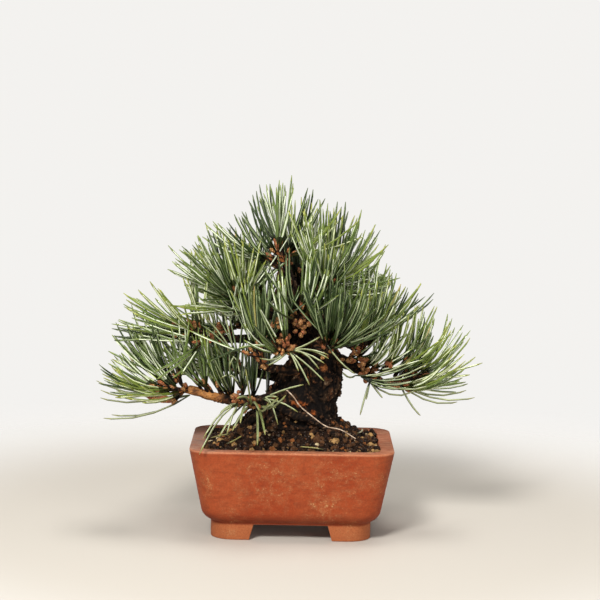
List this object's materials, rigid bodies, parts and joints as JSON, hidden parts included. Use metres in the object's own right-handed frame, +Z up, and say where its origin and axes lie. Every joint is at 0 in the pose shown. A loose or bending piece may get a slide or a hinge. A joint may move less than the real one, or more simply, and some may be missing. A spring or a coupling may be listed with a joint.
{
  "type": "japanese white pine bonsai",
  "caption": "Shohin pine bonsai with a thick leaning trunk, spreading boughs and stiff needle tufts, in a rectangular footed unglazed clay pot of coarse soil.",
  "frame": {"origin": "on the surface that the pot stands on, under the middle of the whole plant's bounding box", "axes": "+X to the right along the pot's long side, towards the lower right bough; +Y to the back; +Z up; the front of the tree faces -Y"},
  "size_m": [0.2336, 0.161, 0.2139],
  "materials": {
    "clay": "unglazed, matt",
    "soil": "loose coarse granules",
    "bark": "rough flaky bark",
    "needles": "satin"
  },
  "bodies": {
    "root": {"bough_back_high": "bark", "bough_back_left": "bark", "bough_back_low": "bark", "bough_back_middle": "bark", "bough_back_right": "bark", "bough_back_upper_left": "bark", "bough_back_upper_right": "bark", "bough_front": "bark", "bough_front_right": "bark", "bough_inner_left": "bark", "bough_low_front": "bark", "bough_low_left": "bark", "bough_low_right": "bark", "bough_mid_left": "bark", "bough_mid_right": "bark", "bough_upper_front": "bark", "bough_upper_left": "bark", "bough_upper_right": "bark", "mass_apex": "needles", "mass_back_high": "needles", "mass_back_left": "needles", "mass_back_low": "needles", "mass_back_middle": "needles", "mass_back_right": "needles", "mass_back_upper_left": "needles", "mass_back_upper_right": "needles", "mass_front": "needles", "mass_front_right": "needles", "mass_inner_left": "needles", "mass_low_front": "needles", "mass_low_left": "needles", "mass_low_right": "needles", "mass_mid_left": "needles", "mass_mid_right": "needles", "mass_upper_front": "needles", "mass_upper_left": "needles", "mass_upper_right": "needles", "pot": "clay", "soil": "soil", "trunk": "bark"}
  },
  "joints": []
}
